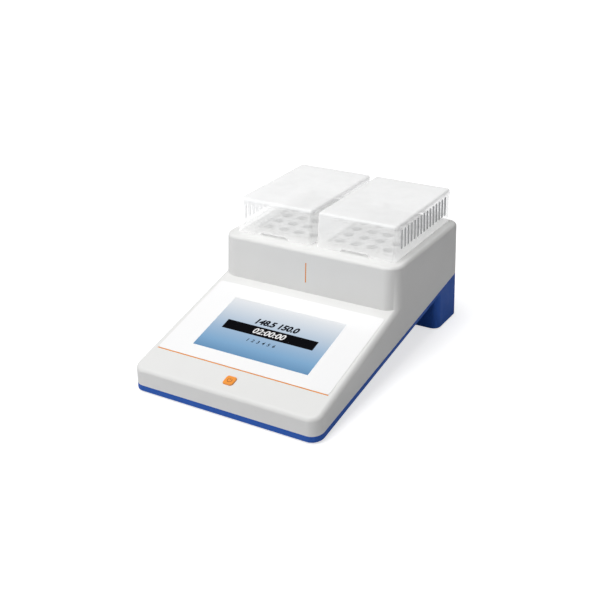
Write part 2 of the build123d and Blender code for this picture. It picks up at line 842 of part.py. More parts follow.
def fuse_drawer():
    drawer = on_entry(drawer_x, 0, drawer_depth / 2) * Box(drawer_width, drawer_depth, drawer_height)
    pocket = 2 * (fuse_radius + fuse_clearance)
    drawer -= on_entry(drawer_x, 0, drawer_depth - pocket / 2) * Box(
        pocket, pocket, fuse_length + 2 * fuse_clearance)
    grip = Box(drawer_width / 2, 2 * drawer_grip, 2 * drawer_grip)
    return drawer - on_entry(drawer_x, drawer_height / 2, 0) * grip


def fuse():
    return on_entry(drawer_x, -fuse_length / 2, drawer_depth - fuse_radius - fuse_clearance) * extrude(
        RegularPolygon(fuse_radius, fuse_sides), amount=fuse_length)


def rocker_swing_radius():
    return ((rocker_height / 2) ** 2 + (rocker_pivot + rocker_rise) ** 2) ** 0.5


def mains_rocker():
    half = rocker_height / 2
    heel_half = half - rocker_taper
    face = Plane.YZ * Polygon((rocker_rise, -half), (-rocker_dip, 0), (rocker_rise, half),
                              (-rocker_heel, heel_half), (-rocker_heel, -heel_half), align=None)
    rocker = extrude(face, amount=rocker_width / 2, both=True)
    pin_length = rocker_width + 2 * (rocker_clearance + rocker_pin_length - rocker_pin_gap)
    rocker += Pos(-pin_length / 2, -rocker_pivot, 0) * Rot(0, 90, 0) * hexagon(rocker_pin_radius, pin_length)
    tilt = Pos(0, -rocker_pivot, 0) * Rot(rocker_angle / 2, 0, 0) * Pos(0, rocker_pivot, 0)
    return on_entry(rocker_x, 0, 0) * tilt * rocker


def rubber_feet(y):
    feet = []
    for side in (-1, 1):
        foot = Pos(side * foot_x, y, -foot_height) * extrude(
            RegularPolygon(foot_radius, foot_sides), amount=foot_height + underside_or_foot(y) + foot_seat)
        feet.append(foot - outside)
    return group(feet)


def screw_head_z(y):
    return max(underside_or_foot(y) + base_screw_recess, parting_z(y) - base_screw_reach)


def underside_or_foot(y):
    return 0 if y > foot_block_y else underside_z(y)


def base_screws():
    screws = []
    for x, y in boss_places:
        head = screw_head_z(y)
        screw = Pos(x, y, head - base_screw_head_height) * hexagon(base_screw_head, base_screw_head_height)
        shaft_length = parting_z(y) + boss_screw_length - screw_end_gap - head
        screw += Pos(x, y, head) * hexagon(base_screw_radius, shaft_length)
        screws.append(screw)
    return group(screws)


outside = envelope(0)
hollow = envelope(wall, rounds=False)
above_parting = parting_slab(0, reach)
below_parting = parting_slab(-reach, 0)

pieces = {
    "upper_housing": upper_housing(),
    "base_housing": base_housing(),
    "front_overlay": front_overlay(),
    "touch_screen": touch_screen(),
    "accent_line": accent_line(),
    "accent_mark": accent_mark(),
    "display_module": display_module(),
    "control_board": control_board(),
    "control_parts": control_parts(),
    "board_spacers": board_spacers(),
    "board_screws": board_screws(),
    "power_button": power_button(),
    "switch_plunger": switch_plunger(),
    "button_switch": button_switch(),
    "button_board": button_board(),
    "power_board": power_board(),
    "transformer": transformer(),
    "heater_relays": heater_relays(),
    "heat_sink": heat_sink(),
    "power_entry": power_entry(),
    "inlet_pins": inlet_pins(),
    "fuse_drawer": fuse_drawer(),
    "fuse": fuse(),
    "mains_rocker": mains_rocker(),
    "chassis_plate": chassis_plate(),
    "block_standoffs": block_standoffs(),
    "front_feet": rubber_feet(front_foot_y),
    "rear_feet": rubber_feet(foot_block_y + foot_block_depth / 2),
    "base_screws": base_screws(),
}
for name, piece in {"lid": right_lid(), "hinge_rod": hinge_rod(), "hinge_lugs": hinge_lugs(),
                    "heating_block": heating_block(), "block_base": block_base(), "bay_frame": bay_frame(),
                    "heater": heater(), "insulation": insulation_jacket(), "probe": temperature_probe(),
                    "thermal_cutout": thermal_cutout()}.items():
    for side, shape in both_bays(piece).items():
        pieces[side + "_" + name] = shape

os.makedirs("parts", exist_ok=True)
for name, piece in pieces.items():
    save(name, piece)
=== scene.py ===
import bmesh
import bpy
import json
from math import cos, pi, radians, sin
from mathutils import Matrix, Vector

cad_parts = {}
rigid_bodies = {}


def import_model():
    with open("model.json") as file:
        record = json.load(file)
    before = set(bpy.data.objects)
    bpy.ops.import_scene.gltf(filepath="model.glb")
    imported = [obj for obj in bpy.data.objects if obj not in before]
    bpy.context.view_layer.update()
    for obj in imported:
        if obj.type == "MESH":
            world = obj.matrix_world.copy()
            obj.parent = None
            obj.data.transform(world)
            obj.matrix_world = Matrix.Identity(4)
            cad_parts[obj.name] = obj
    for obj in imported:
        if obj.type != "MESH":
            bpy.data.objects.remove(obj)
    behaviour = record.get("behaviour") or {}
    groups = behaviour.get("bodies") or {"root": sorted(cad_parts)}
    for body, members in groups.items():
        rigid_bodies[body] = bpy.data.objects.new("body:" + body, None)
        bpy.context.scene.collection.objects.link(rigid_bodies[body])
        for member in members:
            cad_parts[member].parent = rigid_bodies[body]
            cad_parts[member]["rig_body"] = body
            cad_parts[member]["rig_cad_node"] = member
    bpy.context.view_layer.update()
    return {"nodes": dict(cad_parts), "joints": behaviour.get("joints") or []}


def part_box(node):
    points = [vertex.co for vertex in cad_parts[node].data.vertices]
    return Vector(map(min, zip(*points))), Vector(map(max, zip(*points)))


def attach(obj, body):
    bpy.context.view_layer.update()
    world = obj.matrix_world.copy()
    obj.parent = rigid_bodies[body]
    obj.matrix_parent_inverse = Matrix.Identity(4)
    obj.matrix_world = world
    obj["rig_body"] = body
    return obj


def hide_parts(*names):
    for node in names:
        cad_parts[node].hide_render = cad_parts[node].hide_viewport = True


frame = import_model()
nodes = frame["nodes"]
mm = 0.001
tolerance = 0.01 * mm  # places that are nearer than this count as one
mergeDistance = 0.002 * mm
print("stage: frame loaded,", len(nodes), "nodes")


def joint(name):
    return next(j for j in frame["joints"] if j["name"] == name)


def placeWith(middle, across, up, out):
    # a place whose X, Y and Z run along three given directions
    return Matrix.Translation(middle) @ Matrix((across, up, out)).transposed().to_4x4()


# directions on the control slope, from the way the power button is pressed
panelOut = -Vector(joint("power_button_press")["axis"]).normalized()
panelUp = Vector((0, panelOut.z, -panelOut.y))
panelFoot = Vector((0, -214.0 * mm, 35.0 * mm))  # where the slope's plane meets the front face
panelPlace = placeWith(panelFoot, Vector((1, 0, 0)), panelUp, panelOut)


# camera and light

view = {
    "place": (0.6752, -1.1162, 0.6963),
    "turn": 31.4807, "dip": 25.4220, "roll": 1.3119,  # degrees
    "lens": 61.372, "clipStart": 0.01,
}


def addCamera():
    turn, dip, roll = radians(view["turn"]), radians(view["dip"]), radians(view["roll"])
    back = Vector((sin(turn) * cos(dip), -cos(turn) * cos(dip), sin(dip)))
    right = Vector((cos(turn), sin(turn), 0))
    up = back.cross(right)
    rolledRight = right * cos(roll) - up * sin(roll)
    rolledUp = right * sin(roll) + up * cos(roll)
    axes = Matrix((rolledRight, rolledUp, back)).transposed()
    bpy.ops.object.camera_add(location=view["place"], rotation=axes.to_euler())
    camera = bpy.context.object
    camera.data.lens = view["lens"]
    camera.data.clip_start = view["clipStart"]
    bpy.context.scene.camera = camera


studio = {
    "worldLight": 0.27,
    "aim": (0, 0, 80.0 * mm),  # where the lamps point
    "lamps": [  # name, spot, size, power
        ("topLamp", (-0.27, -0.28, 1.9), 1.3, 26.0),
        ("frontLamp", (-1.3, -1.9, 1.1), 2.0, 18.0),
    ],
    "floorSize": 30.0,
    "floorColor": (0.64, 0.64, 0.65),
    "floorLift": 0.66,
    "floorFade": (0.9, 3.0),  # from here to here the floor runs into the white background
}


def addLamps():
    for name, spot, size, power in studio["lamps"]:
        bpy.ops.object.light_add(type="AREA", location=spot)
        lamp = bpy.context.object
        lamp.name = name
        lamp.data.size = size
        lamp.data.energy = power
        aim = Vector(studio["aim"]) - Vector(spot)
        lamp.rotation_euler = aim.to_track_quat("-Z", "Y").to_euler()


class Value:
    # a shader socket that can be worked with like a number
    def __init__(self, finish, socket):
        self.finish = finish
        self.socket = socket

    def math(self, operation, *inputs):
        # works on these inputs, or on this value alone
        numbered = dict(enumerate(inputs or (self,)))
        return self.finish.node("ShaderNodeMath", {"operation": operation}, numbered)

    def __add__(self, other):
        return self.math("ADD", self, other)

    def __radd__(self, other):
        return self.math("ADD", other, self)

    def __sub__(self, other):
        return self.math("SUBTRACT", self, other)

    def __rsub__(self, other):
        return self.math("SUBTRACT", other, self)

    def __mul__(self, other):
        return self.math("MULTIPLY", self, other)

    def __rmul__(self, other):
        return self.math("MULTIPLY", other, self)

    def __gt__(self, other):
        return self.math("GREATER_THAN", self, other)

    def __lt__(self, other):
        return self.math("LESS_THAN", self, other)

    def wave(self, length):
        # a stripe pattern from 0 to 1, one stripe for each length
        return self.math("SINE", self * (2 * pi / length)) * 0.5 + 0.5

    def between(self, low, high, first=0.0, last=1.0):
        # runs from first to last as the value runs from low to high
        return self.finish.node("ShaderNodeMapRange", {}, {0: self, 1: low, 2: high, 3: first, 4: last})

    def spread(self, first, last):
        # noise lies mostly between 0.3 and 0.7, and is spread from first to last
        return self.between(0.3, 0.7, first, last)


class Finish:
    # a material with a Principled shader, and the nodes that feed it
    def __init__(self, name, **constants):
        self.material = bpy.data.materials.new(name)
        self.material.use_nodes = True
        self.tree = self.material.node_tree
        self.shader = self.tree.nodes["Principled BSDF"]
        for key, amount in constants.items():
            self.shader.inputs[key.replace("_", " ")].default_value = amount

    def node(self, kind, settings=None, inputs=None, output=0):
        # its settings come first, a ramp's stops among them, then the values or links of its sockets
        made = self.tree.nodes.new(kind)
        for key, setting in (settings or {}).items():
            if key == "stops":
                while len(made.color_ramp.elements) < len(setting):
                    made.color_ramp.elements.new(0.5)
                for element, (position, color) in zip(made.color_ramp.elements, setting):
                    element.position = position
                    element.color = (*color, 1)
            else:
                setattr(made, key, setting)
        for key, amount in (inputs or {}).items():
            if isinstance(amount, Value):
                self.tree.links.new(amount.socket, made.inputs[key])
            else:
                made.inputs[key].default_value = amount
        return Value(self, made.outputs[output])

    def position(self):
        return self.node("ShaderNodeTexCoord", output="Object")

    def axes(self):
        split = self.node("ShaderNodeSeparateXYZ", {}, {0: self.position()})
        outputs = split.socket.node.outputs
        return [Value(self, outputs[i]) for i in range(3)]

    def noise(self, scale, detail=3.0, stretch=(1, 1, 1)):
        mapped = self.node("ShaderNodeMapping", {}, {0: self.position(), 3: stretch})
        return self.node("ShaderNodeTexNoise", {}, {"Vector": mapped, "Scale": scale, "Detail": detail})

    def mix(self, factor, first, second):
        # runs from the first colour to the second as the factor runs from 0 to 1
        made = self.node("ShaderNodeMix", {"data_type": "RGBA"}, {0: factor}, 2)
        for key, color in ((6, first), (7, second)):
            if isinstance(color, Value):
                self.tree.links.new(color.socket, made.socket.node.inputs[key])
            else:
                made.socket.node.inputs[key].default_value = (*color, 1)
        return made

    def set(self, key, amount):
        self.tree.links.new(amount.socket, self.shader.inputs[key])

    def constant(self, key, amount):
        self.shader.inputs[key].default_value = (*amount, 1)

    def bump(self, height, strength, distance):
        inputs = {"Height": height, "Strength": strength, "Distance": distance}
        self.set("Normal", self.node("ShaderNodeBump", {}, inputs))


def addFloor():
    # a pale floor that keeps the object's shadow and runs into the white background
    bpy.ops.mesh.primitive_plane_add(size=studio["floorSize"])
    floor = bpy.context.object
    floor.name = "floor"
    finish = Finish("floorFinish", Roughness=0.9)
    tree = finish.tree
    finish.constant("Base Color", studio["floorColor"])
    x, y = finish.axes()[:2]
    near, far = studio["floorFade"]
    away = (x * x + y * y).math("SQRT").between(near, far)
    shade = finish.mix(away, (studio["floorLift"],) * 3, (1.0, 1.0, 1.0))
    lift = finish.node("ShaderNodeEmission", {}, {0: shade, 1: 1.0})
    both = finish.node("ShaderNodeAddShader")
    tree.links.new(finish.shader.outputs[0], both.socket.node.inputs[0])
    tree.links.new(lift.socket, both.socket.node.inputs[1])
    seen = finish.node("ShaderNodeLightPath", output="Is Camera Ray")
    mixed = finish.node("ShaderNodeMixShader", {}, {0: seen})
    tree.links.new(finish.shader.outputs[0], mixed.socket.node.inputs[1])
    tree.links.new(both.socket, mixed.socket.node.inputs[2])
    tree.links.new(mixed.socket, tree.nodes["Material Output"].inputs[0])
    floor.data.materials.append(finish.material)


def addWorld():
    # a soft even light, which the camera sees as pure white
    world = bpy.data.worlds.new("studioWorld")
    bpy.context.scene.world = world
    world.use_nodes = True
    tree = world.node_tree
    background = tree.nodes["Background"]
    background.inputs[0].default_value = (1, 1, 1, 1)
    path = tree.nodes.new("ShaderNodeLightPath")
    strength = tree.nodes.new("ShaderNodeMapRange")
    strength.inputs[3].default_value = studio["worldLight"]
    strength.inputs[4].default_value = 1.0
    tree.links.new(path.outputs["Is Camera Ray"], strength.inputs[0])
    tree.links.new(strength.outputs[0], background.inputs[1])


addCamera()
addLamps()
addFloor()
addWorld()
bpy.context.scene.view_settings.view_transform = "Standard"
print("stage: camera, light and floor")


# finishes

def dulled(color, share):
    return tuple(part * share for part in color)


def moulded(name, color, roughness=0.45, grain=2600.0, depth=0.06 * mm, shine=0.5):
    # matt moulded plastic: faint spark-eroded grain, slow changes of gloss and shade
    finish = Finish(name, Specular_IOR_Level=shine)
    finish.set("Base Color", finish.mix(finish.noise(14.0, 2.0), color, dulled(color, 0.95)))
    finish.set("Roughness", finish.noise(60.0).spread(roughness - 0.04, roughness + 0.05))
    finish.bump(finish.noise(grain, 2.0), 0.3, depth)
    return finish


def brushed(name, color, metallic, low, high, stretch=(1, 1, 1), scale=900.0):
    # metal with fine scratches, which a stretch draws out along one way
    finish = Finish(name, Metallic=metallic)
    finish.set("Base Color", finish.mix(finish.noise(30.0), color, dulled(color, 0.9)))
    scratch = finish.noise(scale, 2.0, stretch)
    finish.set("Roughness", scratch.spread(low, high))
    finish.bump(scratch, 0.25, 0.03 * mm)
    return finish


def overlayGloss():
    # the smooth, glossy sheet on the slope
    finish = Finish("overlayGloss", Roughness=0.12, Coat_Weight=0.4, Coat_Roughness=0.05)
    finish.set("Base Color", finish.mix(finish.noise(9.0), (0.97, 0.97, 0.97), (0.945, 0.945, 0.95)))
    finish.bump(finish.noise(500.0, 2.0), 0.04, 0.04 * mm)
    return finish


def screenGlow():
    # pale at the top, running to a soft blue at the bottom
    low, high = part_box("touch_screen")
    finish = Finish(
        "screenGlow", Roughness=0.08, Coat_Weight=0.3, Coat_Roughness=0.04, Emission_Strength=0.93)
    finish.constant("Base Color", (0.02, 0.02, 0.025))
    rise = finish.axes()[1].between(low.y, high.y)
    stops = [
        (0.0, (0.115, 0.285, 0.50)),
        (0.17, (0.20, 0.40, 0.63)),
        (0.41, (0.345, 0.50, 0.68)),
        (0.63, (0.53, 0.63, 0.74)),
        (1.0, (0.86, 0.875, 0.89)),
    ]
    finish.set("Emission Color", finish.node("ShaderNodeValToRGB", {"stops": stops}, {0: rise}))
    return finish


def inkGlow(name, color, strength):
    # a printed or lit shape on the screen
    finish = Finish(name, Roughness=0.5, Specular_IOR_Level=0.0, Emission_Strength=strength)
    finish.constant("Base Color", (0.004, 0.004, 0.005))
    finish.set("Emission Color", finish.mix(finish.noise(300.0, 1.0), color, dulled(color, 0.94)))
    return finish


frost = {  # how thickly each part of a lid is frosted, and how much painted light each part gets: a white glow standing in for light scattered through the plastic
    "wall": 0.30, "top": 0.66, "topBand": 7.0 * mm, "paintedLightBand": 3.0 * mm,
    "wallPaintedLight": 0.21, "topPaintedLight": 0.04, "outerWallPaintedLight": 0.40,
}


def lidFrost():
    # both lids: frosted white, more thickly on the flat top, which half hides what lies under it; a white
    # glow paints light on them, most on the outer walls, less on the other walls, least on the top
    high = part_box("right_lid")[1]
    finish = Finish("lidFrost", Roughness=0.35, IOR=1.49, Specular_IOR_Level=0.3, Emission_Strength=1.0)
    x, y, z = finish.axes()
    top = z.between(high.z - frost["topBand"], high.z - frost["topBand"] / 4)
    haze = finish.noise(40.0).spread(-0.02, 0.02)
    finish.set("Base Color", finish.mix(finish.noise(20.0), (0.985, 0.985, 0.985), (0.96, 0.965, 0.965)))
    finish.set("Alpha", top.between(0.0, 1.0, frost["wall"], frost["top"]) + haze)
    # painted light: the walls glow white, the outer walls most, where light would scatter through them
    wall, flat, side = ((frost[part],) * 3 for part in ("wallPaintedLight", "topPaintedLight", "outerWallPaintedLight"))
    paintedLightSide = x.math("ABSOLUTE") > high.x - frost["paintedLightBand"]
    finish.set("Emission Color", finish.mix(top, finish.mix(paintedLightSide, wall, side), flat))
    finish.bump(finish.noise(1800.0, 2.0), 0.15, 0.04 * mm)
    return finish


def slotShade():
    # painted shade: the grey on the slots' cut faces stands for the dark inside of the lid seen through
    # the slots
    finish = Finish("slotPaintedShade", Roughness=0.3, Specular_IOR_Level=0.3)
    finish.set("Base Color", finish.mix(finish.noise(50.0), (0.56, 0.57, 0.58), (0.48, 0.49, 0.50)))
    return finish


def circuitGreen():
    # solder mask with fine copper tracks and a scatter of bright pads
    finish = Finish("circuitGreen", Coat_Weight=0.3)
    x = finish.axes()[0]
    tracks = (x + finish.noise(60.0, 0.0) * (6.0 * mm)).wave(3.2 * mm) > 0.86
    pads = finish.node("ShaderNodeTexVoronoi", {}, {"Vector": finish.position(), "Scale": 260.0}) < 0.16
    mask = finish.mix(tracks, (0.012, 0.085, 0.035), (0.03, 0.16, 0.07))
    finish.set("Base Color", finish.mix(pads, mask, (0.62, 0.6, 0.55)))
    finish.set("Roughness", tracks.between(0.0, 1.0, 0.42, 0.3))
    finish.bump(tracks, 0.3, 0.05 * mm)
    return finish


def woven(name, color, scale, depth):
    # glass cloth or felt: two crossed sets of threads
    finish = Finish(name, Roughness=0.85)
    x, y, z = finish.axes()
    threads = (x + y).wave(scale) * 0.5 + (z + y * 0.5).wave(scale) * 0.5
    finish.set("Base Color", finish.mix(threads, dulled(color, 0.75), color))
    finish.bump(threads + finish.noise(700.0), 0.6, depth)
    return finish


def laminated():
    # the edges of a stack of thin steel sheets
    finish = Finish("laminatedCore", Metallic=0.6)
    sheets = finish.axes()[1].wave(0.7 * mm)
    finish.set("Base Color", finish.mix(sheets, (0.10, 0.095, 0.09), (0.26, 0.25, 0.24)))
    finish.set("Roughness", finish.noise(300.0).spread(0.4, 0.6))
    finish.bump(sheets, 0.5, 0.1 * mm)
    return finish


def cappedGlass():
    # the fuse: a glass tube between two metal caps
    capLength = 5.0 * mm
    finish = Finish("fuseGlass", Roughness=0.05, IOR=1.5)
    z = finish.axes()[2]
    low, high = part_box("fuse")
    caps = (z < low.z + capLength) + (z > high.z - capLength)
    finish.set("Base Color", finish.mix(caps, (0.85, 0.88, 0.86), (0.75, 0.73, 0.66)))
    finish.set("Metallic", caps)
    finish.set("Alpha", caps.between(0.0, 1.0, 0.35, 1.0))
    return finish


finishes = {
    "white_plastic": moulded("whitePlastic", (0.80, 0.80, 0.79)),
    "blue_plastic": moulded("bluePlastic", (0.031, 0.118, 0.49), 0.5, shine=0.12),
    "white_overlay": overlayGloss(),
    "screen_glass": screenGlow(),
    "orange_plastic": moulded("orangePlastic", (0.92, 0.32, 0.035), 0.36, 2200.0, 0.03 * mm),
    "clear_plastic": lidFrost(),
    "block_metal": brushed("blockMetal", (0.90, 0.90, 0.89), 0.12, 0.42, 0.55),
    "frame_plastic": moulded("framePlastic", (0.80, 0.80, 0.79), 0.5),
    "steel": brushed("zincSteel", (0.62, 0.62, 0.64), 0.95, 0.28, 0.42, (1, 12, 12), 120.0),
    "heater_sheet": woven("siliconeMat", (0.55, 0.16, 0.05), 1.6 * mm, 0.15 * mm),
    "insulation": woven("glassFelt", (0.78, 0.76, 0.68), 2.8 * mm, 0.4 * mm),
    "black_plastic": moulded("blackPlastic", (0.022, 0.022, 0.024), 0.48, 1500.0, 0.08 * mm),
    "circuit_board": circuitGreen(),
    "display": moulded("displayBack", (0.35, 0.36, 0.37), 0.4),
    "spacer_plastic": moulded("nylonSpacer", (0.70, 0.68, 0.60), 0.5),
    "transformer_core": laminated(),
    "aluminium": brushed("sinkAluminium", (0.72, 0.73, 0.74), 0.95, 0.3, 0.45, (12, 1, 12), 120.0),
    "brass": brushed("brassPins", (0.80, 0.62, 0.30), 0.95, 0.25, 0.4),
    "fuse_glass": cappedGlass(),
    "rubber": moulded("softRubber", (0.03, 0.03, 0.032), 0.75, 1200.0, 0.1 * mm),

    # finishes of single pieces, whose slots are among those above
    "lineOrange": moulded("lineOrange", (0.80, 0.27, 0.008), 0.5, shine=0.1),
    "signOrange": moulded("signOrange", (0.36, 0.08, 0.012), 0.4),
    "markWhite": moulded("markWhite", (0.80, 0.80, 0.78), 0.5),
    "slotPaintedShade": slotShade(),
    "bandInk": inkGlow("bandInk", (0.003, 0.003, 0.004), 0.3),
    "numeralInk": inkGlow("numeralInk", (0.006, 0.008, 0.016), 0.5),
    "numeralLight": inkGlow("numeralLight", (0.95, 0.95, 0.95), 0.95),
}
print("stage: finishes")


# modelling helpers

mostly = 0.9  # a direction with more than this of an axis runs along it
hardly = 0.1  # and one with less than this runs across it


def clear():
    bpy.ops.object.select_all(action="DESELECT")


def choose(piece):
    clear()
    piece.select_set(True)
    bpy.context.view_layer.objects.active = piece


def settle(piece):
    choose(piece)
    bpy.ops.object.transform_apply(location=True, rotation=True, scale=True)
    return piece


def addBlock(low, high):
    # a block between two corners
    clear()
    bpy.ops.mesh.primitive_cube_add(size=1, location=(low + high) / 2)
    made = bpy.context.object
    made.scale = high - low
    return settle(made)


def addRod(radius, length, middle, turn=(0, 0, 0), sides=48):
    clear()
    bpy.ops.mesh.primitive_cylinder_add(
        vertices=sides, radius=radius, depth=length, location=middle, rotation=turn)
    return settle(bpy.context.object)


def pick(kind, test):
    # in edit mode: selects the edges or the faces for which test(middle, direction) holds
    bpy.ops.mesh.select_mode(type=kind)
    bpy.ops.mesh.select_all(action="DESELECT")
    mesh = bmesh.from_edit_mesh(bpy.context.object.data)
    for part in mesh.faces if kind == "FACE" else mesh.edges:
        if kind == "FACE":
            middle = part.calc_center_median()
            direction = part.normal
        else:
            first, last = (corner.co for corner in part.verts)
            middle = (first + last) / 2
            direction = (last - first).normalized()
        if test(middle, direction):
            part.select_set(True)
    mesh.select_flush_mode()
    bmesh.update_edit_mesh(bpy.context.object.data)


def edit(piece):
    choose(piece)
    bpy.ops.object.mode_set(mode="EDIT")


def done():
    bpy.ops.object.mode_set(mode="OBJECT")


def bevelEdges(piece, test, width, segments=4):
    edit(piece)
    pick("EDGE", test)
    bpy.ops.mesh.bevel(offset=width, segments=segments, affect="EDGES", clamp_overlap=True)
    done()
    return piece


def upright(middle, direction):
    return abs(direction.z) > mostly


def modify(piece, kind, **settings):
    choose(piece)
    modifier = piece.modifiers.new(kind.lower(), kind)
    for key, setting in settings.items():
        setattr(modifier, key, setting)
    bpy.ops.object.modifier_apply(modifier=modifier.name)
    return piece


def combine(piece, tool, operation="DIFFERENCE"):
    modify(piece, "BOOLEAN", operation=operation, object=tool, solver="EXACT")
    bpy.data.objects.remove(tool)
    return piece


def join(first, *others):
    choose(first)
    for other in others:
        other.select_set(True)
    bpy.ops.object.join()
    return first


def smooth(piece, angle):
    # round faces shade smoothly, and the flat ones between them stay flat
    choose(piece)
    bpy.ops.object.shade_smooth_by_angle(angle=radians(angle))
    return modify(piece, "WEIGHTED_NORMAL", keep_sharp=True, weight=100)


def mergePoints():
    # in edit mode: joins the points that lie on each other, and leaves everything selected
    bpy.ops.mesh.select_all(action="SELECT")
    bpy.ops.mesh.remove_doubles(threshold=mergeDistance)


def tidyMesh(piece, angle=30.0):
    # merged, without slivers, its faces turned outwards and its round ones smooth
    edit(piece)
    mergePoints()
    bpy.ops.mesh.dissolve_degenerate(threshold=mergeDistance / 2)
    bpy.ops.mesh.normals_make_consistent(inside=False)
    done()
    return smooth(piece, angle)


def paint(piece, finishName):
    piece.data.materials.clear()
    piece.data.materials.append(finishes[finishName].material)


def declare(piece, name, body, slotName, *stoodFor, finish=None):
    # gives a finished piece its name, finish and body, and hides the nodes it stands for
    piece.name = name
    piece.data.name = name
    paint(piece, finish or slotName)
    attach(piece, body)
    if stoodFor:
        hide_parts(*stoodFor)
    return piece


def onPanel(piece):
    # moves a piece made flat, with its origin at the slope's foot, onto the slope
    piece.matrix_world = panelPlace @ piece.matrix_world
    return settle(piece)


remake = {"flat": 0.5, "sharp": 40.0}  # degrees between two faces: merged below, broken edge above


def remade(name, newName, slotName, width=0.0, segments=2, angle=30.0):
    # a merged copy of a node: round faces are smooth, and sharp edges are broken where a width is given
    choose(nodes[name])
    bpy.ops.object.duplicate()
    copy = bpy.context.object
    copy.parent = None
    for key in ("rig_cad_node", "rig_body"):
        del copy[key]
    edit(copy)
    mergePoints()
    bpy.ops.mesh.dissolve_limited(angle_limit=radians(remake["flat"]))
    done()
    if width:
        modify(copy, "BEVEL", width=width, segments=segments, limit_method="ANGLE",
               angle_limit=radians(remake["sharp"]), harden_normals=False, use_clamp_overlap=True)
    smooth(copy, angle)
    return declare(copy, newName, nodes[name]["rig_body"], slotName, name)


# lids

lid = {
    "wall": 1.5 * mm, "frontLean": 6.5 * mm, "sideLean": 0.4 * mm,
    "cornerRound": 5.0 * mm, "topRound": 4.0 * mm,
    "slots": 15, "slotWidth": 3.4 * mm, "slotHeight": 28.4 * mm, "slotFoot": 12.3 * mm,
    "slotRound": 0.98,  # of half a slot's width
    "firstSlot": 21.0 * mm, "lastSlot": 19.0 * mm, "slotMargin": 16.0 * mm,  # from the end walls
    "notchWidth": 44.0 * mm, "notchHeight": 3.4 * mm, "notchDepth": 8.0 * mm, "notchRound": 2.4 * mm,
    "rearCut": 3.1 * mm, "rearDepth": 3.0 * mm,
    "knuckle": 3.6 * mm, "knuckleLength": 75.2 * mm, "bore": 1.55 * mm, "boreSides": 24,
    "lugSpacing": 84.0 * mm, "lugDrop": 6.7 * mm,  # the room for each lug, its middle under the axis
    "lugRoom": (8.8 * mm, 14.4 * mm, 22.8 * mm),
}


def lidShell(low, high):
    # a box with leaning walls, round corners and no floor, given its wall at the end
    shell = addBlock(low, high)
    edit(shell)
    leans = [  # where a wall's top edge lies, and how far it comes in
        (lambda m: abs(m.y - low.y) < mm, (0, lid["frontLean"], 0)),
        (lambda m: abs(m.x - low.x) < mm, (lid["sideLean"], 0, 0)),
        (lambda m: abs(m.x - high.x) < mm, (-lid["sideLean"], 0, 0)),
    ]
    for atWall, shift in leans:
        pick("EDGE", lambda m, d: abs(m.z - high.z) < mm and atWall(m))
        bpy.ops.transform.translate(value=shift)
    done()
    bevelEdges(shell, upright, lid["cornerRound"], 6)
    bevelEdges(shell, lambda m, d: abs(m.z - high.z) < tolerance and abs(d.z) < hardly, lid["topRound"], 5)
    edit(shell)
    pick("FACE", lambda m, d: d.z < -mostly)
    bpy.ops.mesh.delete(type="FACE")
    mergePoints()
    bpy.ops.mesh.normals_make_consistent(inside=False)
    done()
    return modify(shell, "SOLIDIFY", thickness=lid["wall"], offset=-1, use_even_offset=True)


def ventSlots(outer, low, high):
    # upright slots with round ends, through the outer wall
    pitch = (high.y - lid["lastSlot"] - low.y - lid["firstSlot"]) / (lid["slots"] - 1)
    reach, half = 4 * lid["wall"], lid["slotWidth"] / 2
    first = low.y + lid["firstSlot"]
    bottom = low.z + lid["slotFoot"]
    slot = addBlock(Vector((outer - reach, first - half, bottom)),
                    Vector((outer + reach, first + half, bottom + lid["slotHeight"])))
    bevelEdges(slot, lambda m, d: abs(d.x) > mostly, lid["slotRound"] * half)
    return modify(slot, "ARRAY", count=lid["slots"], use_relative_offset=False,
                  use_constant_offset=True, constant_offset_displace=(0, pitch, 0))


def cutNotch(shell, low, middle):
    # a finger notch in the foot of the front wall
    half, past = lid["notchWidth"] / 2, lid["notchDepth"] / 2
    notch = addBlock(Vector((middle - half, low.y - past, low.z - past)),
                     Vector((middle + half, low.y + lid["notchDepth"], low.z + lid["notchHeight"])))
    bevelEdges(notch, lambda m, d: abs(d.y) > mostly and m.z > low.z, lid["notchRound"])
    combine(shell, notch)


def addHinge(shell, low, high, axis):
    # the rear wall ends over the knuckle, which has room for a lug at each end and a bore for the rod
    along = (0, pi / 2, 0)
    combine(shell, addBlock(Vector((low.x - mm, high.y - lid["rearDepth"], low.z - mm)),
                            Vector((high.x + mm, high.y + lid["rearDepth"], low.z + lid["rearCut"]))))
    combine(shell, addRod(lid["knuckle"], lid["knuckleLength"], axis, along), "UNION")
    half = Vector(lid["lugRoom"]) / 2
    for end in (-1, 1):
        middle = Vector((axis.x + end * lid["lugSpacing"] / 2, axis.y, axis.z - lid["lugDrop"]))
        combine(shell, addBlock(middle - half, middle + half))
    combine(shell, addRod(lid["bore"], 2 * lid["knuckleLength"], axis, along, lid["boreSides"]))


def markSlotShade(shell, outer, low, high):
    # the slots' cut faces get a grey finish of their own, painted shade for the dark inside seen through
    # them
    shell.data.materials.append(finishes["slotPaintedShade"].material)
    bottom = low.z + lid["slotFoot"] - mm / 2
    top = bottom + lid["slotHeight"] + mm
    front, rear = low.y + lid["slotMargin"], high.y - lid["slotMargin"]
    for face in shell.data.polygons:
        middle = face.center
        cut = abs(middle.x - outer) < lid["wall"] + mm and abs(face.normal.x) < 0.5
        if cut and bottom < middle.z < top and front < middle.y < rear:
            face.material_index = 1


def addLid(name, side):
    low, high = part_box(name)
    outer = high.x if side > 0 else low.x
    axis = Vector(joint(name + "_hinge")["pos_m"])
    shell = lidShell(low, high)
    combine(shell, ventSlots(outer, low, high))
    cutNotch(shell, low, axis.x)
    addHinge(shell, low, high, axis)
    tidyMesh(shell, 32)
    declare(shell, name + "_shell", name, "clear_plastic", name)
    markSlotShade(shell, outer, low, high)


addLid("left_lid", -1)
addLid("right_lid", 1)
print("stage: lids")


# power button, with its raised sign

